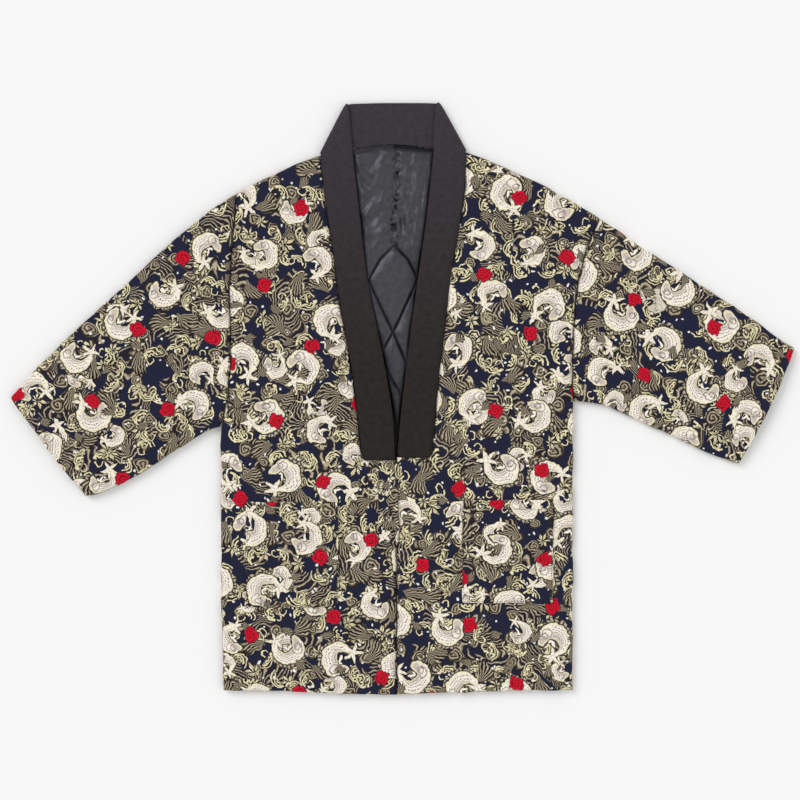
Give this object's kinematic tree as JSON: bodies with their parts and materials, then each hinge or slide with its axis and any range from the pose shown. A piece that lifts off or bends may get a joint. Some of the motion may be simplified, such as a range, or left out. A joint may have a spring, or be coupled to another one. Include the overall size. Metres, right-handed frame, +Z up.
{
  "type": "hanten",
  "caption": "Padded hanten jacket with three-quarter sleeves, an all-over print, a black band collar, cloth ties, patch pockets and a quilted lining, laid flat on its back.",
  "frame": {"origin": "On the floor under the middle of the garment's outline", "axes": "+X to the viewer's right across the garment, +Y from the hem to the collar, +Z up out of the front"},
  "size_m": [1.1385, 0.8607, 0.0166],
  "materials": {
    "print_cotton": "matt cotton with an all-over print of navy, cream, khaki, yellow and red",
    "black_cotton": "matt black cotton",
    "lining_satin": "black satin, quilted in diamonds, slightly shiny"
  },
  "bodies": {
    "root": {"back": "print_cotton", "lining_back": "lining_satin", "front_left": "print_cotton", "front_right": "print_cotton", "sleeve_left": "print_cotton", "sleeve_right": "print_cotton", "collar": "black_cotton", "pocket_left": "print_cotton", "pocket_right": "print_cotton", "tie_left": "print_cotton", "tie_right": "print_cotton"}
  },
  "joints": []
}
